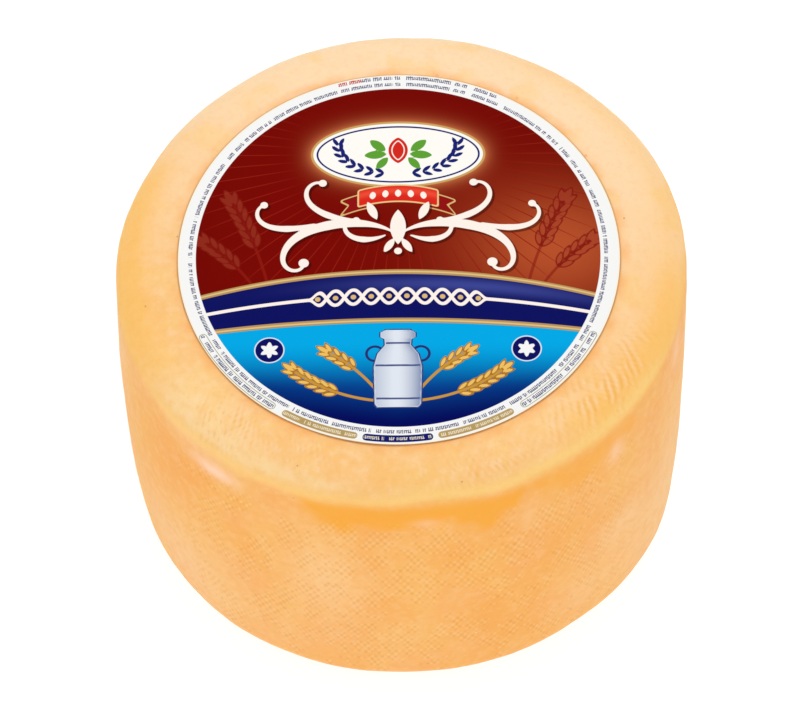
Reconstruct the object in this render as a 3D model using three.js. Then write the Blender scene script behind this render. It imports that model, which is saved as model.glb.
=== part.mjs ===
// A whole wheel of hard grating cheese with a round paper label on its top.
// Units are millimetres, +Z is up, and the origin is the middle of the face that the wheel stands on.
// The wheel is one solid: a disc pressed in a round mould, so its side bellies out a little and its two
// edges are round. Like any wheel made by hand it is slightly oval, leans, and is higher at one side.
import * as THREE from "three";

// Driving dimensions of the wheel.
const DIAMETER = 235;
const HEIGHT = 154;
const SHOULDER_RADIUS = 12; // round edge between the side and the top
const FOOT_RADIUS = 12; // round edge between the side and the base
const BELLY = 2.7; // how much wider the radius is at half height than at the two ends
const TOP_FALL = 0.6; // how far the top sinks between the label's place and the shoulder

// How far the wheel is from a true round disc.
const OVAL = [
  { lobes: 2, amount: 1.75, toward: 13 },
  { lobes: 3, amount: 0.45, toward: -33 },
];
const LEAN = { x: -2.4, y: 2.6 }; // shift of the top against the base
const TOP_SLOPE = { x: 0.014, y: 0.018 }; // rise of the top for each millimetre along x and y

// Broad low swells (+) and pressed hollows (-) of the side: direction and height of the middle, in
// degrees and as a share of the height, reach to each side, and how far the surface moves.
const SWELLS = [
  { angle: -8, level: 0.55, reachAngle: 14, reachLevel: 0.3, amount: -1.3 },
  { angle: 26, level: 0.93, reachAngle: 14, reachLevel: 0.3, amount: 1.0 },
  { angle: -28, level: 0.15, reachAngle: 14, reachLevel: 0.25, amount: 1.3 },
  { angle: -64, level: 0.62, reachAngle: 16, reachLevel: 0.18, amount: 0.4 },
  { angle: -94, level: 0.36, reachAngle: 15, reachLevel: 0.16, amount: -0.4 },
  { angle: -120, level: 0.08, reachAngle: 16, reachLevel: 0.25, amount: 0.6 },
  { angle: -178, level: 0.55, reachAngle: 12, reachLevel: 0.28, amount: -0.4 },
  { angle: 110, level: 0.5, reachAngle: 20, reachLevel: 0.25, amount: -0.7 },
];

// Driving dimensions of the label, a thin sheet that lies on the flat of the top.
const LABEL_RADIUS = 89.9;
const LABEL_THICKNESS = 0.3;
const LABEL_GAP = 0.3; // clear space under the sheet
const LABEL_OFFSET = { x: -0.9, y: -2.4 }; // the label's centre against the top's own centre
const LABEL_MARGIN = 3; // the flat of the top reaches this far past the label

// How finely the round shapes are cut.
const STEPS_AROUND = 88;
const STEPS_EDGE = 8; // on each quarter-round edge
const STEPS_SIDE = 14;
const STEPS_RIM = 4; // on the top between the label's place and the shoulder
const STEPS_FLAT = 3; // on the base, and on the flat under the label

const degrees = THREE.MathUtils.degToRad;

// The outline of half the wheel, from the middle of the base round to the middle of the top.
function wheelProfile() {
  const endRadius = DIAMETER / 2 - BELLY;
  const flatRadius = LABEL_RADIUS + LABEL_MARGIN;
  const bellyAt = (z) => (4 * BELLY * z * (HEIGHT - z)) / HEIGHT ** 2;
  const points = [];
  const add = (r, z) => points.push(new THREE.Vector2(r, z));

  const footCentre = endRadius - FOOT_RADIUS;
  for (let i = 0; i < STEPS_FLAT; i++) add((footCentre * i) / STEPS_FLAT, 0);
  for (let i = 0; i <= STEPS_EDGE; i++) {
    const turn = (Math.PI / 2) * (i / STEPS_EDGE);
    const z = FOOT_RADIUS * (1 - Math.cos(turn));
    add(footCentre + FOOT_RADIUS * Math.sin(turn) + bellyAt(z), z);
  }

  const shoulderCentre = endRadius - SHOULDER_RADIUS;
  const crown = HEIGHT - TOP_FALL;
  const sideTop = crown - SHOULDER_RADIUS;
  for (let i = 1; i < STEPS_SIDE; i++) {
    const z = THREE.MathUtils.lerp(FOOT_RADIUS, sideTop, i / STEPS_SIDE);
    add(endRadius + bellyAt(z), z);
  }
  for (let i = 0; i <= STEPS_EDGE; i++) {
    const turn = (Math.PI / 2) * (i / STEPS_EDGE);
    const z = sideTop + SHOULDER_RADIUS * Math.sin(turn);
    add(shoulderCentre + SHOULDER_RADIUS * Math.cos(turn) + bellyAt(z), z);
  }

  const rimStart = shoulderCentre + bellyAt(crown);
  for (let i = 1; i <= STEPS_RIM; i++) {
    const share = i / STEPS_RIM;
    add(THREE.MathUtils.lerp(rimStart, flatRadius, share), HEIGHT - TOP_FALL * (1 - share) ** 2);
  }
  for (let i = STEPS_FLAT - 1; i >= 0; i--) add((flatRadius * i) / STEPS_FLAT, HEIGHT);
  return points;
}

// How far the side stands out of the true round at an angle (radians) and a height.
function unevenness(angle, z) {
  const oval = OVAL.reduce(
    (sum, o) => sum + o.amount * Math.cos(o.lobes * (angle - degrees(o.toward))),
    0,
  );
  const swells = SWELLS.reduce((sum, s) => {
    const turn = angle - degrees(s.angle);
    const across = Math.atan2(Math.sin(turn), Math.cos(turn)) / degrees(s.reachAngle);
    const along = (z / HEIGHT - s.level) / s.reachLevel;
    return sum + s.amount * Math.exp(-(across ** 2 + along ** 2));
  }, 0);
  return oval + swells;
}

// Moves a point of the true round wheel to where it is on the uneven one.
function settle(point) {
  const radius = Math.hypot(point.x, point.y);
  const angle = Math.atan2(point.y, point.x);
  const share = radius / (DIAMETER / 2);
  const level = point.z / HEIGHT;
  const stretch = unevenness(angle, point.z) * share ** 3;
  point.x += stretch * Math.cos(angle) + LEAN.x * (level - 0.5);
  point.y += stretch * Math.sin(angle) + LEAN.y * (level - 0.5);
  point.z += level * (TOP_SLOPE.x * point.x + TOP_SLOPE.y * point.y);
  return point;
}

// Turns a profile about +Z into a closed body.
function turned(profile) {
  return new THREE.LatheGeometry(profile, STEPS_AROUND).rotateX(Math.PI / 2);
}

function cheeseWheel() {
  const geometry = turned(wheelProfile());
  const position = geometry.getAttribute("position");
  const point = new THREE.Vector3();
  for (let i = 0; i < position.count; i++) {
    settle(point.fromBufferAttribute(position, i));
    position.setXYZ(i, point.x, point.y, point.z);
  }
  geometry.computeVertexNormals();
  const rind = new THREE.MeshStandardMaterial({ color: 0xf9be78, roughness: 0.45, metalness: 0 });
  const mesh = new THREE.Mesh(geometry, rind);
  mesh.name = "cheese_wheel";
  return mesh;
}

function label() {
  const profile = [
    new THREE.Vector2(0, 0),
    new THREE.Vector2(LABEL_RADIUS, 0),
    new THREE.Vector2(LABEL_RADIUS, LABEL_THICKNESS),
    new THREE.Vector2(0, LABEL_THICKNESS),
  ];
  const paper = new THREE.MeshStandardMaterial({ color: 0x7a0a00, roughness: 0.35, metalness: 0 });
  const mesh = new THREE.Mesh(turned(profile), paper);
  mesh.name = "label";

  // The sheet lies along the slope of the top, over a point beside the top's centre.
  const normal = new THREE.Vector3(-TOP_SLOPE.x, -TOP_SLOPE.y, 1).normalize();
  const x = LEAN.x / 2 + LABEL_OFFSET.x;
  const y = LEAN.y / 2 + LABEL_OFFSET.y;
  mesh.position.set(x, y, HEIGHT + TOP_SLOPE.x * x + TOP_SLOPE.y * y);
  mesh.position.addScaledVector(normal, LABEL_GAP);
  mesh.quaternion.setFromUnitVectors(new THREE.Vector3(0, 0, 1), normal);
  return mesh;
}

const wheel = new THREE.Group();
wheel.add(cheeseWheel(), label());

export default wheel;
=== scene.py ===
# %% [markdown]
# A wheel of hard grating cheese, about 235 mm across, with a round printed paper label on its top.
# The cheese is one solid, so it is one surface here: a grid of points carried round the wheel's axis.
# The label is a second thin piece that lies on the flat of the top.
# Everything is worked out in millimetres and turned into metres when it goes into a mesh.

import bpy
import numpy as np
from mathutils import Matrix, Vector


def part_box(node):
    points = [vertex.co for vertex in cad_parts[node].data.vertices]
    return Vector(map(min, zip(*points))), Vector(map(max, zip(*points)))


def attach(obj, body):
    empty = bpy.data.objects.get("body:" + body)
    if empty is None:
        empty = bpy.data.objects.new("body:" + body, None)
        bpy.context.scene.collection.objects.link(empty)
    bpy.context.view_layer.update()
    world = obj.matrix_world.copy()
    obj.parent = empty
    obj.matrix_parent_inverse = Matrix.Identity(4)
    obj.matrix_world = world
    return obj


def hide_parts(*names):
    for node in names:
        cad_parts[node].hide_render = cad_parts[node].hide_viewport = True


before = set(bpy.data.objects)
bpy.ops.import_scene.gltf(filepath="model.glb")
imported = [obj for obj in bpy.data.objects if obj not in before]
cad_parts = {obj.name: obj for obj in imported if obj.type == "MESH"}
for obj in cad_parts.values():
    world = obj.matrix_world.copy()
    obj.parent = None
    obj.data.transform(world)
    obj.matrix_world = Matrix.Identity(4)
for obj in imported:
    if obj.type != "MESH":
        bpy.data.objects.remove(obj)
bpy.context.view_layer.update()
MM = 0.001

# %% [markdown]
# A mesh needs its points, its faces and, here, a few numbers at each point that the material reads later.
# Both pieces are closed bodies turned about an upright axis, so they share one layout: a point at the
# bottom pole, rings of points one above the other, and a point at the top pole. Spinning a profile with a
# modifier would give the same shape, but working with whole arrays lets every point be moved by a formula.


# %% One helper for closed bodies made of rings
def closed_body(name, rings, bottom, top, numbers, material):
    """Puts rings of points (ring, step, xyz), in millimetres, into a mesh, with a pole at each end.
    Neighbouring rings are joined by four-sided faces that run anticlockwise seen from outside, and each
    pole by a fan of triangles. numbers holds, by name, one value for each point, poles first and last."""
    count, around = rings.shape[:2]
    points = np.vstack([bottom, rings.reshape(-1, 3), top]) * MM
    index = 1 + np.arange(count * around).reshape(count, around)
    beside = np.roll(index, -1, axis=1)
    quads = np.stack([index[:-1], beside[:-1], beside[1:], index[1:]], axis=-1).reshape(-1, 4)
    last = len(points) - 1
    low_fan = np.stack([np.zeros(around, int), beside[0], index[0]], axis=-1)
    high_fan = np.stack([np.full(around, last), index[-1], beside[-1]], axis=-1)
    mesh = bpy.data.meshes.new(name)
    mesh.from_pydata(points.tolist(), [], quads.tolist() + low_fan.tolist() + high_fan.tolist())
    for key, values in numbers.items():
        data = mesh.attributes.new(key, "FLOAT", "POINT").data
        data.foreach_set("value", np.asarray(values, np.float32).ravel())
    mesh.shade_smooth()
    mesh.materials.append(material)
    piece = bpy.data.objects.new(name, mesh)
    bpy.context.scene.collection.objects.link(piece)
    print(name, len(points), "points", 2 * len(quads) + 2 * around, "triangles")
    return piece


# %% [markdown]
# Colours are written as the sRGB hex values that an eye would pick, and Blender wants linear light, so one
# function turns them round. Materials are built from nodes, and one function adds a node of any kind with
# its settings and its links, so that a material reads as a list of what is laid on what.


# %% Colour and node helpers
def linear(hex_colour, alpha=1.0):
    """Each sRGB channel is divided by 255 and bent by the sRGB curve to linear light."""
    channels = np.array([int(hex_colour[i : i + 2], 16) for i in (0, 2, 4)]) / 255
    bent = np.where(channels <= 0.04045, channels / 12.92, ((channels + 0.055) / 1.055) ** 2.4)
    return (*bent.tolist(), alpha)


def add(tree, kind, inputs=None, out=0, **settings):
    """Adds a node, applies its settings, then fills its inputs, each by a value or by a link from a
    socket, and gives back the output socket asked for."""
    node = tree.nodes.new("ShaderNode" + kind)
    for key, value in settings.items():
        setattr(node, key, value)
    for key, value in (inputs or {}).items():
        if isinstance(value, bpy.types.NodeSocket):
            tree.links.new(value, node.inputs[key])
        else:
            node.inputs[key].default_value = value
    return node.outputs[out]


def new_material(name):
    """An empty node material with a Principled shader that already reaches the output."""
    material = bpy.data.materials.new(name)
    material.use_nodes = True
    return material, material.node_tree, material.node_tree.nodes["Principled BSDF"]


def paint(tree, under, share, hex_colour, strength=1.0):
    """Lays a colour over what is under it, as thickly as share times strength says."""
    share = add(tree, "Math", {0: share, 1: strength}, operation="MULTIPLY", use_clamp=True)
    return add(tree, "Mix", {0: share, 6: under, 7: linear(hex_colour)}, out=2, data_type="RGBA")


def times(tree, *values):
    """The product of sockets and numbers."""
    product = values[0]
    for value in values[1:]:
        product = add(tree, "Math", {0: product, 1: value}, operation="MULTIPLY")
    return product


def rise(tree, value, start, end, low=0.0, high=1.0):
    """Goes evenly from low to high while the value goes from start to end, and stays there."""
    return add(tree, "MapRange", {0: value, 1: start, 2: end, 3: low, 4: high})


# %% [markdown]
# The true shape of the wheel. Its half outline goes from the base round the foot, up a side that bellies
# out like a barrel, round the shoulder and in over the top. A wheel pressed by hand is never true, so each
# point is then moved: the plan is slightly oval, the body leans, the top slopes and the side has a few
# broad swells and hollows. The same formulas made the solid in the frame, so this surface lies on it.

# %% Sizes of the wheel
DIAMETER = 235.0
HEIGHT = 154.0
SHOULDER_RADIUS = 12.0
FOOT_RADIUS = 12.0
BELLY = 2.7
TOP_FALL = 0.6
OVAL = ((2, 1.75, 13), (3, 0.45, -33))  # lobes, how far, towards which degree
LEAN = np.array([-2.4, 2.6])
TOP_SLOPE = np.array([0.014, 0.018])
SWELLS = (  # degree, level, reach in degrees, reach in level, how far
    (-8, 0.55, 14, 0.3, -1.3),
    (26, 0.93, 14, 0.3, 1.0),
    (-28, 0.15, 14, 0.25, 1.3),
    (-64, 0.62, 16, 0.18, 0.4),
    (-94, 0.36, 15, 0.16, -0.4),
    (-120, 0.08, 16, 0.25, 0.6),
    (-178, 0.55, 12, 0.28, -0.4),
    (110, 0.5, 20, 0.25, -0.7),
)
label_low, label_high = (np.array(corner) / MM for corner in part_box("label"))
LABEL_RADIUS = (label_high - label_low)[:2].max() / 2
LABEL_CENTRE = (label_high + label_low)[:2] / 2
FLAT_RADIUS = LABEL_RADIUS + 3
print("label radius", LABEL_RADIUS.round(2), "centre", LABEL_CENTRE.round(2))


# %% The half outline of the wheel
def half_outline(step):
    """Points (radius, height) from the base to the top about one step apart, with quarter circles at
    foot and shoulder. The belly adds a parabola of the height to the radius. Also gives each point's
    distance along the outline from the crease, the outer end of the shoulder, counted down the side."""
    end = DIAMETER / 2 - BELLY
    crown = HEIGHT - TOP_FALL
    side_top = crown - SHOULDER_RADIUS
    base = np.linspace(0.03, 1, 20)[:, None] * [end - FOOT_RADIUS, 0]
    turn = np.linspace(0, np.pi / 2, int(FOOT_RADIUS * 1.6 / step) + 1)[1:, None]
    foot = np.hstack([end - FOOT_RADIUS + FOOT_RADIUS * np.sin(turn), FOOT_RADIUS * (1 - np.cos(turn))])
    rise = np.linspace(FOOT_RADIUS, side_top, int((side_top - FOOT_RADIUS) / step) + 1)[1:, None]
    side = np.hstack([np.full_like(rise, end), rise])
    turn = np.linspace(0, np.pi / 2, int(SHOULDER_RADIUS * 1.6 / step) + 1)[1:, None]
    shoulder_centre = end - SHOULDER_RADIUS
    shoulder = np.hstack([
        shoulder_centre + SHOULDER_RADIUS * np.cos(turn),
        side_top + SHOULDER_RADIUS * np.sin(turn),
    ])
    share = np.linspace(0, 1, int((shoulder_centre - FLAT_RADIUS) / step) + 2)[1:, None]
    rim = np.hstack([
        shoulder_centre + (FLAT_RADIUS - shoulder_centre) * share,
        HEIGHT - TOP_FALL * (1 - share) ** 2,
    ])
    flat = np.linspace(1, 0.03, 24)[1:, None] * [FLAT_RADIUS, 0] + [0, HEIGHT]
    outline = np.vstack([base, foot, side, shoulder, rim, flat])
    outline[:, 0] += 4 * BELLY * outline[:, 1] * (HEIGHT - outline[:, 1]) / HEIGHT**2
    crease = len(base) + len(foot) + len(side) + 2
    along = np.concatenate([[0], np.cumsum(np.hypot(*np.diff(outline, axis=0).T))])
    return outline, along[crease] - along


# %% From a true round wheel to the uneven one
def stand_out(angle, level):
    """How far the side stands out of the true round, in millimetres: one cosine for each set of lobes,
    plus a bell curve over angle and level for each swell."""
    total = np.zeros(np.broadcast(angle, level).shape)
    for lobes, amount, toward in OVAL:
        total += amount * np.cos(lobes * (angle - np.radians(toward)))
    for degree, middle, reach, reach_level, amount in SWELLS:
        turn = (angle - np.radians(degree) + np.pi) % (2 * np.pi) - np.pi
        across = turn / np.radians(reach)
        total += amount * np.exp(-(across**2) - ((level - middle) / reach_level) ** 2)
    return total


def settle(x, y, z):
    """Moves points of the true wheel outwards by stand_out, fading with the cube of the radius, then
    shifts them sideways with height for the lean, and lifts them with x and y for the slope."""
    radius = np.hypot(x, y)
    angle = np.arctan2(y, x)
    level = z / HEIGHT
    stretch = stand_out(angle, level) * (radius / (DIAMETER / 2)) ** 3
    x = x + stretch * np.cos(angle) + LEAN[0] * (level - 0.5)
    y = y + stretch * np.sin(angle) + LEAN[1] * (level - 0.5)
    z = z + level * (TOP_SLOPE[0] * x + TOP_SLOPE[1] * y)
    return np.stack([x, y, z], axis=-1)


# %% [markdown]
# Unevenness that looks natural comes from waves that run every way. A sum of cosines, each with its own
# direction and a wavelength near the one wanted, has no grid, no seam and no lookup table, and a seeded
# random generator makes it the same on each run.


# %% Random waves in space
def waves(points, wavelength, seed, count=28):
    """The mean of count cosines of place in space, in random directions, with wavelengths within a third
    of the one given, scaled so that the result mostly lies between -1 and 1."""
    rng = np.random.default_rng(seed)
    direction = rng.normal(size=(count, 3))
    direction /= np.linalg.norm(direction, axis=1)[:, None]
    length = wavelength * rng.uniform(0.75, 1.33, count)
    phase = rng.uniform(0, 2 * np.pi, count)
    total = np.zeros(points.shape[:-1])
    for k in range(count):
        total += np.cos(points @ (direction[k] * 2 * np.pi / length[k]) + phase[k])
    return total * np.sqrt(2 / count) / 1.6


def ramp(value, start, end):
    """0 before start, 1 after end, and a smooth S between them."""
    t = np.clip((value - start) / (end - start), 0, 1)
    return t * t * (3 - 2 * t)


# %% [markdown]
# The rind. Grid points are about 1.4 mm apart, so real relief down to about 4 mm goes into the shape:
# slow hollows from the press and a knobbly skin. The imprint of the cloth's threads and the short creases
# on the rim are finer than the grid, and are left to the material. Under the label the relief fades out,
# so the paper lies flat. The base is dished by a third of a millimetre, as the middle of a cheese sinks in.

# %% Rind surface
STEP = 1.45
AROUND = 500
outline, below = half_outline(STEP)
angle = np.linspace(-np.pi, np.pi, AROUND, endpoint=False)[None, :]
radius, height = outline[:, :1], outline[:, 1:]
round_wheel = np.stack([radius * np.cos(angle), radius * np.sin(angle), height + 0 * angle], axis=-1)
rings = settle(*np.moveaxis(round_wheel, -1, 0))

tangent_up = np.gradient(rings, axis=0)
tangent_round = np.roll(rings, -1, axis=1) - np.roll(rings, 1, axis=1)
normal = np.cross(tangent_round, tangent_up)
normal /= np.linalg.norm(normal, axis=-1, keepdims=True)

below = below[:, None] + 0 * angle
on_side = ramp(below, -9, 0)
on_rim = ramp(radius, FLAT_RADIUS - 4, FLAT_RADIUS + 3) * (1 - on_side) * (height > HEIGHT / 2)
off_base = ramp(height, 0.2, 6)

slow = waves(rings, 46, 1)
knobs = waves(rings, 11, 2)
skin = waves(rings, 5.2, 3)
relief = 0.22 * slow + 0.05 * knobs + 0.018 * skin - 0.25
rings = rings + normal * (relief * off_base * (on_side + on_rim).clip(0, 1))[..., None]

DISH = 0.3
to_foot = radius / (DIAMETER / 2 - BELLY - FOOT_RADIUS)
rings[..., 2] += DISH * (1 - to_foot**2).clip(0) * (height < 1)

# %% [markdown]
# The colours of a ripened rind aren't the same everywhere. The top is straw coloured, the shoulder is
# ringed with yellow, and under it the rind of the side starts in deep orange and fades to peach. Part of
# this is painted light: the top is partly painted paler than the side, as lit from above, and paler still
# to the back as a painted reflection, the yellow ring is partly a painted highlight, and a few pale marks
# under the shoulder are painted reflections. Numbers between 0 and 1 at each point say where it is what,
# and where the cloth has left its print. The material only mixes colours by them. A smooth hump over
# angle and height places the things that the wheel has once.


# %% Where the rind changes colour
def hump(toward, middle, reach, reach_below):
    """A bell curve over the angle, in degrees, and the distance below the crease, in millimetres."""
    turn = (np.degrees(angle) - toward + 180) % 360 - 180
    return np.exp(-((turn / reach) ** 2) - ((below - middle) / reach_below) ** 2)


def between(start, end, soft):
    """1 between two angles in degrees, with soft ends."""
    turn = (np.degrees(angle) - (start + end) / 2 + 180) % 360 - 180
    return ramp((end - start) / 2 - np.abs(turn), -soft, soft)


drift = 0.7 * waves(rings, 34, 11)
tongues = 2 * waves(rings, 9, 16)
upright = waves(rings * [1, 1, 0.45], 17, 14) + 0.5 * waves(rings, 8, 15)
front = between(-150, -25, 8)
left = between(-152, -94, 9)
low = between(-92, -35, 8)  # where the colours of the top stop a little short of the crease
hidden = between(8, 172, 9)  # the half of the side that faces away
# The orange band hangs down in tongues: how deep it goes, in millimetres, at some angles round the front.
tongue_depths = {
    -114: 3, -110: 13, -106: 20, -102: 26, -98: 21, -90: 21, -85: 17, -80: 18, -76: 25, -72: 29,
    -68: 19, -64: 10, -60: 15, -56: 23, -50: 26, -46: 20, -42: 16, -36: 18,
}  # fmt: skip
depth = np.interp(np.degrees(angle), list(tongue_depths), list(tongue_depths.values()))
strong = between(-113, -62, 3) + 0.65 * between(-62, -35, 4) + 0.6 * between(40, 128, 14)
outer_rim = between(-50, -4, 8) + between(-205, -151, 8) + 0.45 * between(-4, 66, 10)
numbers = {
    "top": 1 - ramp(below + drift + 0.8 * low, -3.5, 3.5),
    # back: the top is painted paler towards the back, a painted reflection of the lamp behind it.
    "back": ramp(rings[..., 1] + 0.25 * rings[..., 0], -70, 100),
    "base": 1 - ramp(height, 0.3, 6),
    "fair": hump(-137, -10, 13, 13) + hump(-120, -3, 18, 5) + 0.6 * hump(-54, -18, 7, 6),
    "gold": hump(-86, -9, 8, 6) + 0.8 * hump(-22, -3, 10, 4),
    # yellow: a ring along the shoulder, partly the rind's colour and partly a painted highlight where it
    # turns to the light.
    "yellow": np.exp(-(((below + drift - 1.7 * left + 0.8 * low) / 3.4) ** 2))
    * (0.15 + 0.85 * front - 0.25 * left),
    "amber": outer_rim * ramp(below, -20, -8) * (1 - ramp(below, -1, 5)),
    "orange": ramp(below + drift, 0, 10) * (1 - ramp(below + tongues - depth, -7, 4)) * strong,
    "warm": 0.6 * hump(-50, 28, 9, 16)
    + 0.9 * hump(-136, 31, 6, 6)
    + 0.8 * hump(-147, 40, 9, 26)
    + 0.4 * hump(-112, 12, 6, 7),
    "pale": hump(-106, 62, 9, 34)
    + hump(-140, 112, 18, 36)
    + hump(-24, 100, 20, 46)
    + 0.8 * hump(-134, 2, 16, 12)
    + 0.6 * hump(-64, 28, 4, 14)
    + 0.6 * hump(-41, 80, 6, 12)
    + 0.3 * hump(-104, 112, 16, 24)
    + 0.5 * hump(-52, 112, 7, 14)
    + 0.8 * hump(-168, 24, 8, 18)
    + 0.7 * ramp(waves(rings, 70, 17), 0.0, 0.9) * hidden,
    "blush": ramp(waves(rings, 30, 13), 0.0, 0.9) * on_side,
    # Pale marks under the shoulder: painted reflections of a lamp.
    "painted_reflection": hump(-130, 15, 5, 4.5)
    + 0.3 * hump(-85, 16, 3, 3)
    + 0.5 * hump(-42, 20, 2, 7)
    + 0.4 * hump(-17, 14, 3, 9),
    "cloth": ramp(upright, -0.75, 0.15)
    * ramp(below, 12, 26)
    * ramp(height, 3, 14)
    * (0.2 + 0.8 * between(-138, -40, 9) + 0.7 * hidden),
    "gather": hump(-131, -11, 7, 10)
    + 0.55 * hump(-113, -14, 8, 8)
    + 0.6 * hump(-74, -9, 12, 7)
    + 0.3 * hump(-36, -13, 19, 11),
    "folds": hump(-38, -13, 17, 11) + 0.3 * hump(-72, -9, 10, 6),
}
numbers = {key: value.clip(0, 1) for key, value in numbers.items()}


# %% [markdown]
# Cheese rind is a fatty, slightly clear skin: light goes a few millimetres in and comes out warmer, which
# is subsurface scattering, and its satin shine comes from fat and wax at the surface. Cloth leaves pits in
# rows, shifted by half a pit from row to row. Two cosines multiplied give just that, and slow noise added
# to their phases lets the rows wander as a slack cloth does.


# %% Material of the rind
def rind_material():
    """Ripened cheese rind, pressed in cloth and rubbed smooth: satin, mottled from straw to orange."""
    material, tree, shader = new_material("ripened_cheese_rind_pressed_in_cloth")
    place = add(tree, "TexCoord", out=3)
    masks = {key: add(tree, "Attribute", attribute_name=key, out=2) for key in numbers}

    def noise(millimetres, detail=1.0, up=1.0, out=0):
        """Noise with blots of the size given, up times as tall as they are wide."""
        size = 1000.0 / millimetres
        stretched = add(
            tree, "VectorMath", {0: place, 1: (size, size, size / up)}, operation="MULTIPLY"
        )
        return add(tree, "TexNoise", {"Vector": stretched, "Scale": 1.0, "Detail": detail}, out=out)

    def dots(spacing, size, kept):
        """Round dots, one at most in each cell of a cell pattern, in the share of the cells kept."""
        cells = add(tree, "TexVoronoi", {"Vector": place, "Scale": 1000.0 / spacing})
        small = rise(tree, cells, size / spacing, 0.6 * size / spacing)
        drawn = add(tree, "SeparateXYZ", {0: cells.node.outputs[1]})
        return times(tree, small, rise(tree, drawn, 1 - kept, 1 - kept + 0.01))

    # Side: faint clouds, taller than wide, and paler sheets with firmer edges, then what it has once.
    cloud = noise(24, 2.0, up=1.9)
    sheet = noise(34, 1.0, up=1.4)
    grain = noise(2.2, 2.0)
    colour = linear("f6ad57")
    colour = paint(tree, colour, rise(tree, cloud, 0.4, 0.62), "f7b764")
    colour = paint(tree, colour, rise(tree, sheet, 0.5, 0.56), "f8be73", 0.3)
    colour = paint(tree, colour, masks["blush"], "f8b370", 0.3)
    colour = paint(tree, colour, masks["pale"], "fac98f", 0.7)
    colour = paint(tree, colour, masks["warm"], "f7a953", 0.6)
    fleck = noise(4.0, 2.0)
    colour = paint(tree, colour, rise(tree, fleck, 0.52, 0.66), "f1a24c", 0.2)
    colour = paint(tree, colour, rise(tree, fleck, 0.48, 0.34), "fdcc92", 0.22)
    colour = paint(tree, colour, masks["orange"], "f9a936", 0.9)
    # Pale marks under the shoulder, painted as reflections of a lamp.
    colour = paint(tree, colour, masks["painted_reflection"], "ffd2b0", 1.0)

    # Top: straw with yellower blots, partly painted light from above, painted paler to the back as a
    # reflection of the lamp behind it, and a ring of yellow on the shoulder that is partly a painted
    # highlight.
    straw = paint(tree, linear("fbc37b"), rise(tree, noise(13, 2.0), 0.38, 0.62), "fcca8a")
    straw = paint(tree, straw, masks["back"], "fedcb3", 0.95)
    straw = paint(tree, straw, masks["fair"], "ffdca4", 0.7)
    straw = paint(tree, straw, masks["gold"], "f8c46c", 0.6)
    straw = paint(tree, straw, rise(tree, noise(17, 1.0), 0.54, 0.64), "fccd82", 0.4)
    fleck_share = rise(tree, masks["back"], 0.0, 0.7, 0.25, 0.05)
    straw = paint(tree, straw, rise(tree, fleck, 0.53, 0.66), "f7b968", fleck_share)
    straw = paint(tree, straw, rise(tree, fleck, 0.47, 0.34), "ffdcb4", fleck_share)
    # The top's paler straw against the side's orange is partly the rind's own colour and partly painted
    # light from the lamps above.
    colour = add(tree, "Mix", {0: masks["top"], 6: colour, 7: straw}, out=2, data_type="RGBA")
    colour = paint(tree, colour, masks["amber"], "fdc162", 0.7)
    # The yellow ring on the shoulder is partly a painted highlight.
    colour = paint(tree, colour, masks["yellow"], "ffd383", 0.85)

    # The cloth's print: pits 3.1 mm apart round the wheel, in rows 2.45 mm apart, and a net of squares
    # on the base.
    apart = add(tree, "SeparateXYZ", {0: place})
    x, y, z = (apart.node.outputs[i] for i in range(3))
    bearing = add(tree, "Math", {0: y, 1: x}, operation="ARCTAN2")
    sway = add(tree, "SeparateXYZ", {0: noise(32, 1.0, out=1)})
    pits_round = float(np.round(np.pi * DIAMETER / 3.1))
    wander = times(tree, sway, 11.0)
    column = add(tree, "Math", {0: bearing, 1: pits_round, 2: wander}, operation="MULTIPLY_ADD")
    row_wander = times(tree, sway.node.outputs[1], 11.0)
    row = add(tree, "Math", {0: z, 1: 2 * np.pi / 0.0049, 2: row_wander}, operation="MULTIPLY_ADD")
    across = add(tree, "Math", {0: column}, operation="COSINE")
    up = add(tree, "Math", {0: row}, operation="COSINE")
    shown = times(tree, masks["cloth"], rise(tree, noise(3.6, 0.0), 0.34, 0.64, 0.1, 1.4))
    weave = times(tree, across, up, shown)
    net = []
    for along, slack in ((x, wander), (y, row_wander)):
        phase = add(tree, "Math", {0: along, 1: 2 * np.pi / 0.0028, 2: slack}, operation="MULTIPLY_ADD")
        net.append(add(tree, "Math", {0: phase}, operation="COSINE"))
    under = times(tree, *net, masks["base"], rise(tree, cloud, 0.35, 0.65))
    weave = add(tree, "Math", {0: weave, 1: under}, operation="ADD")
    # The pits are painted darker and the cloth between them lighter: painted shade and painted highlight of
    # the imprint, whose relief the bump also gives.
    colour = paint(tree, colour, rise(tree, weave, 0.1, 0.9), "e0923f", 0.29)
    colour = paint(tree, colour, rise(tree, weave, -0.1, -0.9), "ffcb80", 0.42)

    def creases(apart, around, outwards):
        """Slanting creases, apart in millimetres. Their phase grows by so many radians for each radian
        round the wheel and each metre outwards. Noise lets them wander and break off."""
        wander = times(tree, noise(4 * apart, 1.0), 11.0)
        phase = add(tree, "Math", {0: far, 1: outwards, 2: wander}, operation="MULTIPLY_ADD")
        phase = add(tree, "Math", {0: bearing, 1: around, 2: phase}, operation="MULTIPLY_ADD")
        wave = add(tree, "Math", {0: phase}, operation="COSINE")
        return times(tree, wave, rise(tree, noise(2.1 * apart, 1.0), 0.34, 0.58))

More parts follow.
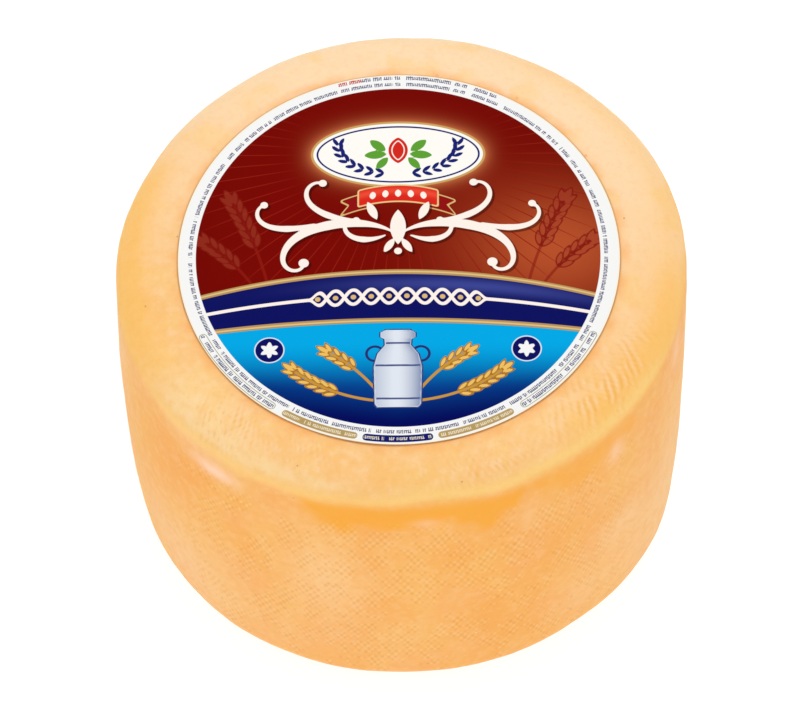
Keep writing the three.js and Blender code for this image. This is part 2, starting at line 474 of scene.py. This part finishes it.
    # On the rim the cloth was gathered. Its threads left two sets of fine creases that cross, one stronger
    # than the other, and at one side the folds between them left broader ones.
    flat = add(tree, "VectorMath", {0: place, 1: (1.0, 1.0, 0.0)}, operation="MULTIPLY")
    far = add(tree, "VectorMath", {0: flat}, out=1, operation="LENGTH")
    crease = times(tree, creases(3.2, 170.0, 1000.0), masks["folds"])
    for outwards, share in ((-1150.0, 0.85), (1150.0, 0.35)):
        fine = times(tree, creases(2.2, 264.0, outwards), masks["gather"])
        crease = add(tree, "Math", {0: fine, 1: share, 2: crease}, operation="MULTIPLY_ADD")
    # Each crease is painted darker in its hollow and lighter on its ridge: painted shade and painted
    # highlight over the creases' bump.
    colour = paint(tree, colour, rise(tree, crease, 0.1, 0.9), "ecac55", 0.45)
    colour = paint(tree, colour, rise(tree, crease, -0.1, -0.9), "fed6ae", 0.6)

    # A thin dark line along the paper's edge on the rind is a painted shadow of the paper.
    centre = (*(LABEL_CENTRE * MM).tolist(), 0.0)
    from_label = add(tree, "VectorMath", {0: flat, 1: centre}, out=1, operation="DISTANCE")
    beside = add(tree, "Math", {0: from_label, 1: LABEL_RADIUS * MM}, operation="SUBTRACT")
    painted_edge_shadow = times(tree, rise(tree, beside, 0.0008, 0.0001), masks["top"])
    colour = paint(tree, colour, painted_edge_shadow, "bb7c3e", 0.7)
    wash = times(tree, rise(tree, beside, 0.005, 0.0005), masks["top"])
    uneven = rise(tree, noise(11, 1.0), 0.42, 0.62, 0.2, 0.7)
    colour = paint(tree, colour, times(tree, wash, uneven), "fbb066")
    oily = times(tree, rise(tree, beside, 0.0035, 0.0015), dots(7, 1.1, 0.3), masks["top"])
    colour = paint(tree, colour, oily, "ff9c4c", 0.6)

    # Pinholes, painted dark as painted shade in the holes, and bright crumbs.
    pinhole = dots(13, 0.45, 0.4)
    colour = paint(tree, colour, pinhole, "cf9858", 0.7)
    colour = paint(tree, colour, times(tree, dots(8, 0.6, 0.25), masks["cloth"]), "ffdc7a", 0.8)
    colour = paint(tree, colour, rise(tree, grain, 0.5, 0.75), "f6a650", 0.12)
    tree.links.new(colour, shader.inputs["Base Color"])

    dents = add(tree, "Math", {0: weave, 1: -0.7, 2: times(tree, grain, 0.5)}, operation="MULTIPLY_ADD")
    dents = add(tree, "Math", {0: crease, 1: -0.55, 2: dents}, operation="MULTIPLY_ADD")
    dents = add(tree, "Math", {0: pinhole, 1: -1.5, 2: dents}, operation="MULTIPLY_ADD")
    bump = add(tree, "Bump", {"Strength": 0.6, "Distance": 0.0003, "Height": dents})
    tree.links.new(bump, shader.inputs["Normal"])
    tree.links.new(rise(tree, cloud, 0.3, 0.7, 0.46, 0.58), shader.inputs["Roughness"])
    shader.inputs["IOR"].default_value = 1.45
    shader.inputs["Specular IOR Level"].default_value = 0.1
    shader.inputs["Subsurface Weight"].default_value = 0.18
    shader.inputs["Subsurface Radius"].default_value = (1.0, 0.5, 0.2)
    shader.inputs["Subsurface Scale"].default_value = 0.003
    return material


# %% Put the rind in place
def with_poles(values):
    """One value for each pole, taken from the ring beside it, before and after the ring's values."""
    flat = np.broadcast_to(values, rings.shape[:2])
    return np.concatenate([flat[0, :1], flat.ravel(), flat[-1, :1]])


rind = closed_body(
    "cheese_rind",
    rings,
    settle(np.array(0.0), np.array(0.0), np.array(0.0)) + [0, 0, DISH],
    settle(np.array(0.0), np.array(0.0), np.array(HEIGHT)),
    {key: with_poles(values) for key, values in numbers.items()},
    rind_material(),
)
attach(rind, "root")
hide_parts("cheese_wheel")

# %% [markdown]
# The label is a thin round sheet on the flat of the top. It gets a polar grid that is finer than its
# shape needs, because the print is drawn on its points. An image could carry the print, but numbers on
# points need no file. So that edges stay crisp between points that are most of a millimetre apart, a
# point doesn't hold a colour. It holds its signed distance from the edge of each printed shape, which
# runs evenly from point to point, and the material puts the ink exactly where that distance is above 0.

# %% Label sheet
SHEET_LIFT = 0.12
SHEET_THICKNESS = 0.3
LABEL_AROUND = 600
PRINT_RADIUS = 82.2
PRINT_SHIFT = np.array([-0.3, 0.5])  # the print isn't quite in the middle of the cut sheet
ring_radius = np.concatenate([
    np.linspace(2, LABEL_RADIUS - 0.1, 8),
    [LABEL_RADIUS, LABEL_RADIUS, LABEL_RADIUS - 0.1],
    np.linspace(LABEL_RADIUS - 0.25, PRINT_RADIUS - 1, 34),
    np.linspace(PRINT_RADIUS - 1, 0.7, 117)[1:],
])[:, None]
ring_height = np.concatenate([np.zeros(8), [0.1, 0.8], np.ones(151)])[:, None] * SHEET_THICKNESS
turn = np.linspace(-np.pi, np.pi, LABEL_AROUND, endpoint=False)[None, :]
across_x = ring_radius * np.cos(turn)
across_y = ring_radius * np.sin(turn)


def on_top(x, y, lift):
    """A point of the label's plane, lifted off the sloping top."""
    x = x + LABEL_CENTRE[0]
    y = y + LABEL_CENTRE[1]
    z = HEIGHT + TOP_SLOPE[0] * x + TOP_SLOPE[1] * y + lift
    return np.stack([x, y, z], axis=-1)


sheet = on_top(across_x, across_y, SHEET_LIFT + ring_height)

# %% [markdown]
# Four plain shapes make up the whole print. Each function gives the distance from the shape's edge in
# millimetres, above 0 inside it. The larger of two distances joins two shapes and the smaller keeps what
# they share, so shapes are put together with maximum and minimum.


# %% Shapes as signed distances
def oval(x, y, cx, cy, a, b):
    """With p the place over the two radii and q the place over their squares: |p| (1 - |p|) / |q|."""
    p = np.hypot((x - cx) / a, (y - cy) / b)
    q = np.hypot((x - cx) / a**2, (y - cy) / b**2)
    return p * (1 - p) / np.maximum(q, 1e-9)


def bar(x, y, cx, cy, half_width, half_height, corner=0.0):
    """A box with round corners."""
    across = np.abs(x - cx) - half_width + corner
    up = np.abs(y - cy) - half_height + corner
    outside = np.hypot(np.maximum(across, 0), np.maximum(up, 0))
    return corner - outside - np.minimum(np.maximum(across, up), 0)


def leaf(x, y, cx, cy, heading, length, width):
    """The pointed overlap of two equal circles, with its long way at heading degrees."""
    a = np.radians(heading)
    along = (x - cx) * np.cos(a) + (y - cy) * np.sin(a)
    across = np.abs((y - cy) * np.cos(a) - (x - cx) * np.sin(a))
    arc_radius = (length**2 + width**2) / (4 * width)
    return arc_radius - np.hypot(along, across + arc_radius - width / 2)


def stroke(x, y, path, widths):
    """A brush stroke: the largest of the distances inside discs that are set close along the path."""
    inside = np.full(np.shape(x), -9.0)
    for (px, py), width in zip(path, widths):
        near = (np.abs(x - px) < width / 2 + 4) & (np.abs(y - py) < width / 2 + 4)
        inside[near] = np.maximum(inside[near], width / 2 - np.hypot(x[near] - px, y[near] - py))
    return inside


def curl(start, heading, bends, length, step=0.35):
    """A path that coils like a fern. Its bending, in degrees for each millimetre, goes through the values
    in bends at even steps. The heading is the running sum of the bending, the place that of the heading."""
    count = int(length / step)
    bend = np.interp(np.arange(count), np.linspace(0, count, len(bends)), bends)
    headings = np.radians(heading + np.cumsum(bend) * step)
    steps = np.stack([np.cos(headings), np.sin(headings)], axis=1) * step
    return np.cumsum(steps, axis=0) + start, headings


# %% [markdown]
# A scroll is a stroke along such a coiling path, thin at its ends, with a ball where it stops. An ear of
# wheat is a stalk with leaf shapes in pairs over its outer half. Both are drawn once and mirrored, which
# only takes the distance from the middle line in place of x.


# %% Scrolls and ears of wheat
def scroll(x, y, start, heading, bends, length, widths, ball):
    """A mirrored pair of tapered coils that end in balls."""
    path, _ = curl(start, heading, bends, length)
    width = np.interp(np.arange(len(path)), np.linspace(0, len(path), len(widths)), widths)
    end = ball / 2 - np.hypot(np.abs(x) - path[-1, 0], y - path[-1, 1])
    return np.maximum(stroke(np.abs(x), y, path, width), end)


def ear(x, y, start, heading, bend, length, grain):
    """A mirrored pair of ears: the grains, and the stalks."""
    x = np.abs(x)
    path, headings = curl(start, heading, (bend, bend), length)
    aside = np.stack([-np.sin(headings), np.cos(headings)], axis=1)
    tip = path[-1] + 0.5 * grain * np.array([np.cos(headings[-1]), np.sin(headings[-1])])
    grains = leaf(x, y, *tip, np.degrees(headings[-1]), grain * 1.1, grain * 0.42)
    for k in range(len(path) - 3, int(len(path) * 0.42), -int(grain * 0.62 / 0.35)):
        for side in (-1, 1):
            aim = headings[k] + side * 0.42
            middle = path[k] + 0.42 * grain * np.array([np.cos(aim), np.sin(aim)])
            middle += side * 0.75 * aside[k]
            grains = np.maximum(grains, leaf(x, y, *middle, np.degrees(aim), grain, grain * 0.34))
    return grains, stroke(x, y, path, np.full(len(path), 1.25))


# %% [markdown]
# The print of such a label is traditional: a dark red field with a glow, a blue field under an arched
# band, an oval medallion with laurel and a ribbon, and a scroll ornament. Like printing plates, the shapes
# are kept by the ink that they carry.


# %% Plates of the fields and the band
def field_plates(x, y):
    """The red field's dark edge and glow, rays round the medallion, the blue field and its shades, and
    the band between two parabolas with a braid of two sine waves that cross."""
    top = -10 - 12 * (x / 80) ** 2
    low = -31 - 6 * (x / 80) ** 2
    middle = (top + low) / 2
    band = np.minimum(top - y, y - low)
    from_crest = np.hypot(x, y - 49)
    found = {
        "edge_dark": ramp(np.hypot(x + 8, y - 10), 40, 95),
        "glow": np.exp(-(((x - 64) / 36) ** 2) - ((y - 3) / 27) ** 2),
        "rays": np.sin(np.arctan2(y - 49, x) * 36) * from_crest / 36,
        "rays_span": ramp(from_crest, 38, 60) * (1 - ramp(from_crest, 70, 95)),
        "blue": -21 - y,
        "deep": ramp(-y, 42, 66),
        "deeper": ramp(-y + 0.12 * np.abs(x), 61, 82),
        "band": band,
        "band_light": np.exp(-(((y - middle - 6) / 3.2) ** 2) - ((x - 30) / 50) ** 2)
        * ramp(band, -0.2, 0.4),
    }
    swing = 3.4 * np.sqrt(ramp(-np.abs(x), -36, -30))
    phase = 2 * np.pi * x / 14.4
    for key, side in (("strand_a", 1), ("strand_b", -1)):
        slope = swing * 2 * np.pi / 14.4 * np.cos(phase)
        found[key] = (y - middle - side * swing * np.sin(phase)) / np.hypot(1, slope)
    at = 3.6 + 7.2 * np.arange(5)
    beads = [1.15 - np.hypot(np.abs(x) - bx, y + 20.5 + 9 * (bx / 80) ** 2) for bx in at]
    found["beads"] = np.maximum.reduce(beads)
    return found


# %% Plates of the medallion and the ribbon
def crest_plates(x, y):
    """An oval with a laurel of leaf pairs along two quarter ovals, a bud between green leaves, and a
    ribbon bent over a parabola, whose tails are boxes with a notch cut in."""
    ax = np.abs(x)
    crest = oval(x, y, 0, 49, 35, 15.5)
    laurel = []
    for quarter in np.linspace(0.06, 0.98, 8) * np.pi / 2:
        cx, cy = 3.5 + 21 * np.sin(quarter), 39.5 + 14 * (1 - np.cos(quarter))
        along = np.arctan2(14 * np.sin(quarter), 21 * np.cos(quarter))
        for aim in (along - 0.5, along + 0.5):
            px, py = cx + 2.6 * np.cos(aim), cy + 2.6 * np.sin(aim)
            laurel.append(leaf(ax, y, px, py, np.degrees(aim), 4.6, 1.7))
    arch = y - 29.6 + 0.010 * x**2
    ribbon = bar(x, arch, 0, 0, 16, 3.7, 0.4)
    notch = (19.8 - ax + np.abs(arch + 1.9)) * 0.7
    return {
        "crest_glow": np.exp(np.minimum(crest, 0) / 2.2),
        "crest": crest,
        "laurel": np.maximum.reduce(laurel),
        "bud": leaf(x, y, 0, 51, 90, 13, 8),
        "clover": np.maximum.reduce([
            leaf(ax, y, 8.4, 53.4, 40, 8.5, 4.0),
            leaf(ax, y, 9.4, 48.8, -4, 9.5, 4.0),
            leaf(ax, y, 6.6, 44.6, -50, 7.5, 3.4),
        ]),
        "tail": np.minimum(bar(ax, arch, 17.5, -1.9, 5.5, 3.5), notch),
        "ribbon": ribbon,
        "ribbon_light": np.exp(-(((arch - 1.4) / 1.6) ** 2)) * ramp(ribbon, -0.1, 0.3),
        "stud": np.maximum.reduce([leaf(ax, arch, c, 0, 90, 3.6, 2.6) for c in (0, 5.2, 10.4)]),
    }


# %% Plates of the scroll ornament and the wheat behind it
def ornament(x, y):
    """Four pairs of scrolls that branch from each other, about a middle of three leaves."""
    ax = np.abs(x)
    long_bends = (-3.0, -1.1, -1.6, -4.6, -19)
    return np.maximum.reduce([
        scroll(x, y, (2, 10.5), 36, long_bends, 68, (0.8, 3.4, 4.4, 3.6, 2.0, 1.2), 4.2),
        scroll(x, y, (16, 15.8), 8, (0.2, 3.2, 14), 38, (1.6, 3.0, 2.0, 1.1), 3.4),
        scroll(x, y, (34, 14.2), -14, (0.2, 3.0, 15), 33, (1.6, 3.0, 2.0, 1.1), 3.2),
        scroll(x, y, (5, 9.0), -25, (1.5, 6, 21), 27, (0.8, 2.8, 1.8, 1.1), 3.0),
        leaf(ax, y, 10.6, 21.0, 66, 9.5, 3.6),
        leaf(x, y, 0, 13.0, 90, 17, 6.4),
        leaf(ax, y, 3.6, 4.0, -58, 8, 3.0),
        1.6 - np.hypot(x, y - 1.2),
    ])


def ornament_plates(x, y):
    """The ornament, the same shape set off as its shadow, and two pairs of ears beside it."""
    tall, tall_stalk = ear(x, y, (52, -18), 78, -0.35, 46, 7.5)
    short, short_stalk = ear(x, y, (56, -20), 62, -0.75, 34, 7.0)
    return {
        "sheaf_stalk": np.maximum(tall_stalk, short_stalk),
        "sheaf": np.maximum(tall, short),
        "ornament_shadow": ornament(x - 0.8, y + 0.9),
        "ornament": ornament(x, y),
    }


# %% Plates of the milk churn and the golden wheat
def churn_plates(x, y):
    """A churn whose half width goes through a few values up its height, with shade on its round side,
    hoops and two ring handles, between golden ears, and two round badges with six petals."""
    ax = np.abs(x)
    levels = [-73, -71.5, -54, -48, -44, -41, -40.6, -37.8, -37]
    half = np.interp(y, levels, [8.2, 9.2, 9.6, 8.2, 5.2, 5.4, 7, 7, 5])
    churn = np.minimum.reduce([(half - ax) * 0.9, y + 73, -36.8 - y])
    inside = ramp(churn, -0.1, 0.3)
    hoops = 0.45 - np.minimum.reduce([np.abs(y + 43), np.abs(y + 53.5), np.abs(y + 69)])
    low, low_stalk = ear(x, y, (8, -70), 6, 0.9, 37, 6.4)
    high, high_stalk = ear(x, y, (8, -66), 56, -0.9, 27, 6.4)
    petals = []
    for a in np.radians([30, 90, 150, 210, 270, 330]):
        px, py = 51.5 + 2 * np.cos(a), -46 + 2 * np.sin(a)
        petals.append(leaf(ax, y, px, py, np.degrees(a), 4.0, 1.9))
    return {
        "stalk": np.maximum(low_stalk, high_stalk),
        "wheat": np.maximum(low, high),
        "handle": 3.4 - np.hypot(ax - 9.2, y + 48),
        "churn": churn,
        "churn_dark": np.clip(x / half, 0, 1) ** 1.5 * inside,
        "churn_grey": np.clip(-1.3 * x / half - 0.3, 0, 1) * inside,
        "hoops": np.minimum(hoops, churn - 0.3),
        "badge": 5.6 - np.hypot(ax - 51.5, y + 46),
        "petals": np.maximum.reduce(petals),
    }


# %% Plates of the white edge
def edge_plates(x, y):
    """Boxes bent round the label: the arc length at 87.7 mm takes the place of x and the radius that of
    y. Also where the outer row of small print runs, and the distance from the sheet's cut edge."""
    r = np.hypot(x, y)

    def bent(centre, half_width, half_height):
        away = (np.degrees(np.arctan2(y, x)) - centre + 180) % 360 - 180
        return bar(np.radians(away) * 87.7, r - 87.7, 0, 0, half_width, half_height, 1.4)

    gold_bar = np.maximum(bent(-111, 16, 1.55), bent(-69, 16, 1.55))
    navy_bar = bent(-90, 14, 1.6)
    pill = np.maximum(bent(-139, 23, 1.55), bent(-41, 23, 1.55))
    return {
        "edge": r - PRINT_RADIUS,
        "pill": pill,
        "gold_bar": gold_bar,
        "navy_bar": navy_bar,
        "second_row": np.maximum(pill, bent(84.6, 34.8, 1.6)) - 0.4,
        "bars": np.maximum(gold_bar, navy_bar) - 0.4,
        "red_word": bent(103.7, 5.5, 1.6),
        "cut": LABEL_RADIUS - np.hypot(x + PRINT_SHIFT[0], y + PRINT_SHIFT[1]),
    }


# %% Work out all plates
plates = {}
for make_plates in (field_plates, crest_plates, ornament_plates, churn_plates, edge_plates):
    plates.update(make_plates(across_x - PRINT_SHIFT[0], across_y - PRINT_SHIFT[1]))
    centre = make_plates(*-PRINT_SHIFT.reshape(2, 1, 1))
    for key, value in centre.items():
        whole = plates[key]
        plates[key] = np.concatenate([whole[0, :1], whole.ravel(), value.ravel()]).clip(-6, 6)
print(len(plates), "plates")

# %% [markdown]
# The inks are listed from the first printed to the last. Each is laid where its plate's distance is above
# the lower limit and, for a line, below the upper one. A shade has no limits and is as strong as its plate.

# %% Inks in printing order: plate, lower and upper limit, colour, strength
INKS = (
    ("edge_dark", None, None, "6a0500", 0.5),
    ("glow", None, None, "bd552c", 0.85),
    ("rays", -0.2, 0.2, "8f1c10", "rays_span"),
    ("sheaf_stalk", 0.0, None, "8c1a10", 0.7),
    ("sheaf", 0.0, None, "a03a26", 0.5),
    ("sheaf", -0.28, 0.28, "7d1008", 0.8),
    ("blue", 0.0, None, "00a6e3", 1.0),
    ("deep", None, None, "02408f", 1.0),
    ("deeper", None, None, "000759", 1.0),
    ("band", -2.3, None, "b8935a", 1.0),
    ("band", -1.6, -0.9, "e6c98c", 0.8),
    ("band", 0.0, None, "0b105e", 1.0),
    ("band_light", None, None, "4a55a8", 0.6),
    ("strand_a", -0.75, 0.75, "fbf0e6", 1.0),
    ("strand_b", -0.75, 0.75, "fbf0e6", 1.0),
    ("beads", 0.0, None, "d9b676", 1.0),
    ("crest_glow", None, None, "de8250", 0.85),
    ("crest", -1.0, None, "c9a25e", 1.0),
    ("crest", 0.0, None, "fbf8f2", 1.0),
    ("crest", 1.3, 2.1, "121a6b", 1.0),
    ("laurel", 0.0, None, "18206f", 1.0),
    ("clover", 0.0, None, "5d9f33", 1.0),
    ("bud", 0.0, None, "d2281e", 1.0),
    ("bud", 1.2, 1.7, "fbf0e6", 1.0),
    ("tail", -0.6, None, "d9b676", 1.0),
    ("tail", 0.0, None, "8e1010", 1.0),
    ("ribbon", -0.7, None, "e8c98a", 1.0),
    ("ribbon", 0.0, None, "d9261a", 1.0),
    ("ribbon_light", None, None, "f4553c", 0.7),
    ("stud", 0.0, None, "fbf0e6", 1.0),
    ("ornament_shadow", -0.3, None, "3a0400", 0.65),
    ("ornament", 0.0, None, "fbf0e6", 1.0),
    ("stalk", 0.0, None, "c89238", 1.0),
    ("wheat", 0.0, None, "edbf62", 1.0),
    ("wheat", 0.0, 0.4, "a8701f", 1.0),
    ("handle", -0.55, 0.55, "26306f", 1.0),
    ("churn", -0.5, None, "26306f", 1.0),
    ("churn", 0.0, None, "dfe5ee", 1.0),
    ("churn_dark", None, None, "7f8db0", 1.0),
    ("churn_grey", None, None, "a9b5cc", 0.7),
    ("hoops", 0.0, None, "4a5688", 1.0),
    ("badge", -0.5, None, "dfe5ee", 1.0),
    ("badge", 0.0, None, "0b105e", 1.0),
    ("petals", 0.0, None, "f4f4f2", 1.0),
    ("edge", 0.0, None, "f4f4f2", 1.0),
    ("cut", -1.0, 0.7, "fff0d6", 0.8),
    ("cut", -1.0, 0.15, "a88350", 0.8),
    ("pill", -0.15, 0.15, "9a9a6c", 1.0),
    ("gold_bar", 0.0, None, "b5985e", 1.0),
    ("navy_bar", 0.0, None, "131a66", 1.0),
)


# %% Material of the label
def label_material():
    """Coated paper, offset printed under a matt varnish: smooth, with crisp edges between the inks."""
    material, tree, shader = new_material("coated_label_paper_offset_printed")
    place = add(tree, "TexCoord", out=3)
    values = {key: add(tree, "Attribute", attribute_name=key, out=2) for key in plates}

    def laid(plate, low, high, soft=0.08):
        """1 where the plate's distance lies between the limits, with an edge a sixth of a millimetre
        wide, or the plate itself where there are no limits."""
        if low is None:
            return values[plate]
        share = rise(tree, values[plate], low - soft, low + soft)
        if high is not None:
            share = times(tree, share, rise(tree, values[plate], high + soft, high - soft))
        return share

    colour = linear("780500")
    for plate, low, high, hex_colour, strength in INKS:
        if isinstance(strength, str):
            strength = values[strength]
        colour = paint(tree, colour, laid(plate, low, high), hex_colour, strength)

    # Rows of small print, in runs of uneven length.
    middle = (*((LABEL_CENTRE + PRINT_SHIFT) * MM).tolist(), 0.0)
    moved = add(tree, "VectorMath", {0: place, 1: middle}, operation="SUBTRACT")
    apart = add(tree, "SeparateXYZ", {0: moved})
    x, y = apart.node.outputs[0], apart.node.outputs[1]
    bearing = add(tree, "Math", {0: y, 1: x}, operation="ARCTAN2")
    flat = add(tree, "CombineXYZ", {0: x, 1: y})
    far = add(tree, "VectorMath", {0: flat}, out=1, operation="LENGTH")

    def small_print(row_radius, row_height, pitch):
        """Letters too small to be read: stems of uneven height, most joined by a stroke high or low."""
        cells = float(np.round(2 * np.pi * row_radius / pitch) / (2 * np.pi))
        column = times(tree, bearing, cells)
        cell = add(tree, "Math", {0: column}, operation="FLOOR")
        drawn = add(tree, "TexWhiteNoise", {"W": cell}, noise_dimensions="1D")
        more = add(tree, "SeparateXYZ", {0: drawn.node.outputs[1]})
        within = add(tree, "Math", {0: column}, operation="FRACT")
        level = {0: far, 1: 1000 / row_height, 2: -row_radius / row_height}
        level = add(tree, "Math", level, operation="MULTIPLY_ADD")
        up = add(tree, "Math", {0: level}, operation="ABSOLUTE")
        tall = add(tree, "Math", {0: up, 1: rise(tree, drawn, 0.0, 1.0, 0.34, 0.5)}, operation="LESS_THAN")
        stem = times(tree, rise(tree, within, 0.06, 0.16), rise(tree, within, 0.7, 0.58), tall)
        off = {0: level, 1: rise(tree, more, 0.49, 0.51, -0.25, 0.25)}
        off = add(tree, "Math", off, operation="SUBTRACT")
        off = add(tree, "Math", {0: off}, operation="ABSOLUTE")
        joined = rise(tree, more.node.outputs[1], 0.22, 0.23)
        link = times(tree, rise(tree, off, 0.15, 0.09), joined)
        glyph = add(tree, "Math", {0: stem, 1: link}, operation="MAXIMUM")
        words = add(tree, "TexNoise", {"W": column, "Scale": 0.19, "Detail": 0.0}, noise_dimensions="1D")
        space = rise(tree, more.node.outputs[2], 0.1, 0.11)
        return times(tree, glyph, space, rise(tree, words, 0.28, 0.3))

    first_row = small_print(84.5, 1.9, 0.74)
    second_row = small_print(87.7, 2.0, 0.77)
    colour = paint(tree, colour, first_row, "3e3e6c", 0.9)
    share = times(tree, second_row, laid("second_row", 0.0, None))
    colour = paint(tree, colour, share, "3e3e6c", 0.9)
    colour = paint(tree, colour, times(tree, share, laid("red_word", 0.0, None)), "c4432a", 1.0)
    share = times(tree, small_print(87.7, 1.6, 0.74), laid("bars", 0.0, None))
    colour = paint(tree, colour, share, "f4ead2", 0.75)
    tree.links.new(colour, shader.inputs["Base Color"])

    fibre = add(tree, "TexNoise", {"Vector": place, "Scale": 1 / 0.0006, "Detail": 2.0})
    bump = add(tree, "Bump", {"Strength": 0.15, "Distance": 0.00003, "Height": fibre})
    tree.links.new(bump, shader.inputs["Normal"])
    tree.links.new(rise(tree, fibre, 0.3, 0.7, 0.4, 0.5), shader.inputs["Roughness"])
    shader.inputs["IOR"].default_value = 1.45
    shader.inputs["Specular IOR Level"].default_value = 0.015
    return material


label = closed_body(
    "paper_label",
    sheet,
    on_top(0.0, 0.0, SHEET_LIFT),
    on_top(0.0, 0.0, SHEET_LIFT + SHEET_THICKNESS),
    plates,
    label_material(),
)
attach(label, "root")
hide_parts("label")

# %% [markdown]
# The stage: a plain pale floor, a bright even surround and large soft lamps. A food packshot is lit almost
# from everywhere, so that the side of the wheel is nearly as bright as its top.


# %% Floor and light
def floor():
    """A sheet of opal acrylic, 6 m on a side, lit faintly from below so that it stays white."""
    half = 3.0
    corners = [(-half, -half, 0), (half, -half, 0), (half, half, 0), (-half, half, 0)]
    mesh = bpy.data.meshes.new("floor")
    mesh.from_pydata(corners, [], [(0, 1, 2, 3)])
    material, tree, shader = new_material("opal_acrylic_light_table")
    shader.inputs["Base Color"].default_value = linear("9a9a9a")
    shader.inputs["Roughness"].default_value = 0.9
    shader.inputs["Specular IOR Level"].default_value = 0.1
    shader.inputs["Emission Color"].default_value = (1.0, 1.0, 1.0, 1.0)
    shader.inputs["Emission Strength"].default_value = FLOOR_GLOW
    mesh.materials.append(material)
    piece = bpy.data.objects.new("floor", mesh)
    bpy.context.scene.collection.objects.link(piece)
    return piece


def soft_box(name, azimuth, elevation, distance, width, height, watts):
    """An area lamp that looks at the middle of the wheel from an azimuth and elevation in degrees."""
    lamp = bpy.data.lights.new(name, "AREA")
    lamp.shape = "RECTANGLE"
    lamp.size = width
    lamp.size_y = height
    lamp.energy = watts
    box = bpy.data.objects.new(name, lamp)
    a, e = np.radians([azimuth, elevation])
    middle = HEIGHT / 2 * MM
    box.location = (
        distance * np.cos(e) * np.sin(a),
        -distance * np.cos(e) * np.cos(a),
        distance * np.sin(e) + middle,
    )
    box.rotation_euler = (np.pi / 2 - e, 0, a)
    bpy.context.scene.collection.objects.link(box)
    return box


FLOOR_GLOW = 0.8
floor()
soft_box("back_top_box", 175, 62, 1.6, 1.2, 0.9, 6.6)
soft_box("front_box", -8, 42, 2.0, 1.6, 1.2, 7.0)
soft_box("right_box", 70, 22, 2.0, 1.4, 1.2, 2.4)
soft_box("left_box", -80, 22, 2.0, 1.4, 1.2, 1.9)
world = bpy.data.worlds.new("white_surround")
world.use_nodes = True
world.node_tree.nodes["Background"].inputs["Color"].default_value = (1.0, 1.0, 1.0, 1.0)
world.node_tree.nodes["Background"].inputs["Strength"].default_value = 0.68
bpy.context.scene.world = world
bpy.context.scene.view_settings.view_transform = "Standard"

# %% [markdown]
# The camera stands where the photograph's did. Its distance, height and focal length come from fitting
# the wheel's outline and the label's two circles, with the picture taken as 800 by 704 pixels.

# %% Camera
FRAME_WIDTH, FRAME_HEIGHT = 800, 704
ELEVATION = np.radians(56.97)
DISTANCE = 1718.0
FOCAL_PIXELS = 4068.0
OPTICAL_CENTRE = (403.95, 355.95)
lens = bpy.data.cameras.new("camera")
lens.sensor_fit = "HORIZONTAL"
lens.sensor_width = 36.0
lens.lens = FOCAL_PIXELS / FRAME_WIDTH * lens.sensor_width
lens.shift_x = -(OPTICAL_CENTRE[0] - FRAME_WIDTH / 2) / FRAME_WIDTH
lens.shift_y = (OPTICAL_CENTRE[1] - FRAME_HEIGHT / 2) / FRAME_WIDTH
camera = bpy.data.objects.new("camera", lens)
camera.location = (
    0,
    -DISTANCE * np.cos(ELEVATION) * MM,
    (DISTANCE * np.sin(ELEVATION) + HEIGHT / 2) * MM,
)
camera.rotation_euler = (np.pi / 2 - ELEVATION, 0, 0)
bpy.context.scene.collection.objects.link(camera)
bpy.context.scene.camera = camera
print("lens", round(lens.lens, 1), "mm")
